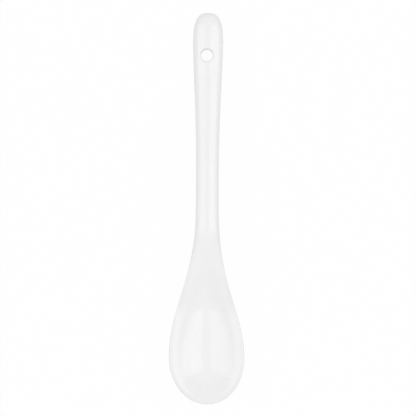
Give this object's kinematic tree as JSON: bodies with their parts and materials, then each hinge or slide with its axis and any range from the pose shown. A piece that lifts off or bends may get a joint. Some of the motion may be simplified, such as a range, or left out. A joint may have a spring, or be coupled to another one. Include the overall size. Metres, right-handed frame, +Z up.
{
  "type": "teaspoon",
  "caption": "Ceramic teaspoon with an egg-shaped bowl, an arched round-edged handle and a small round hole near the handle's end for hanging.",
  "frame": {"origin": "on the table under the middle of the spoon's length and width", "axes": "+Y along the spoon towards the handle's end, +Z up with the bowl open upwards, +X to the right when looking down with the handle's end at the top"},
  "size_m": [0.027, 0.14, 0.0126],
  "materials": {
    "glazed_porcelain": "gloss"
  },
  "bodies": {
    "root": {"teaspoon": "glazed_porcelain"}
  },
  "joints": []
}
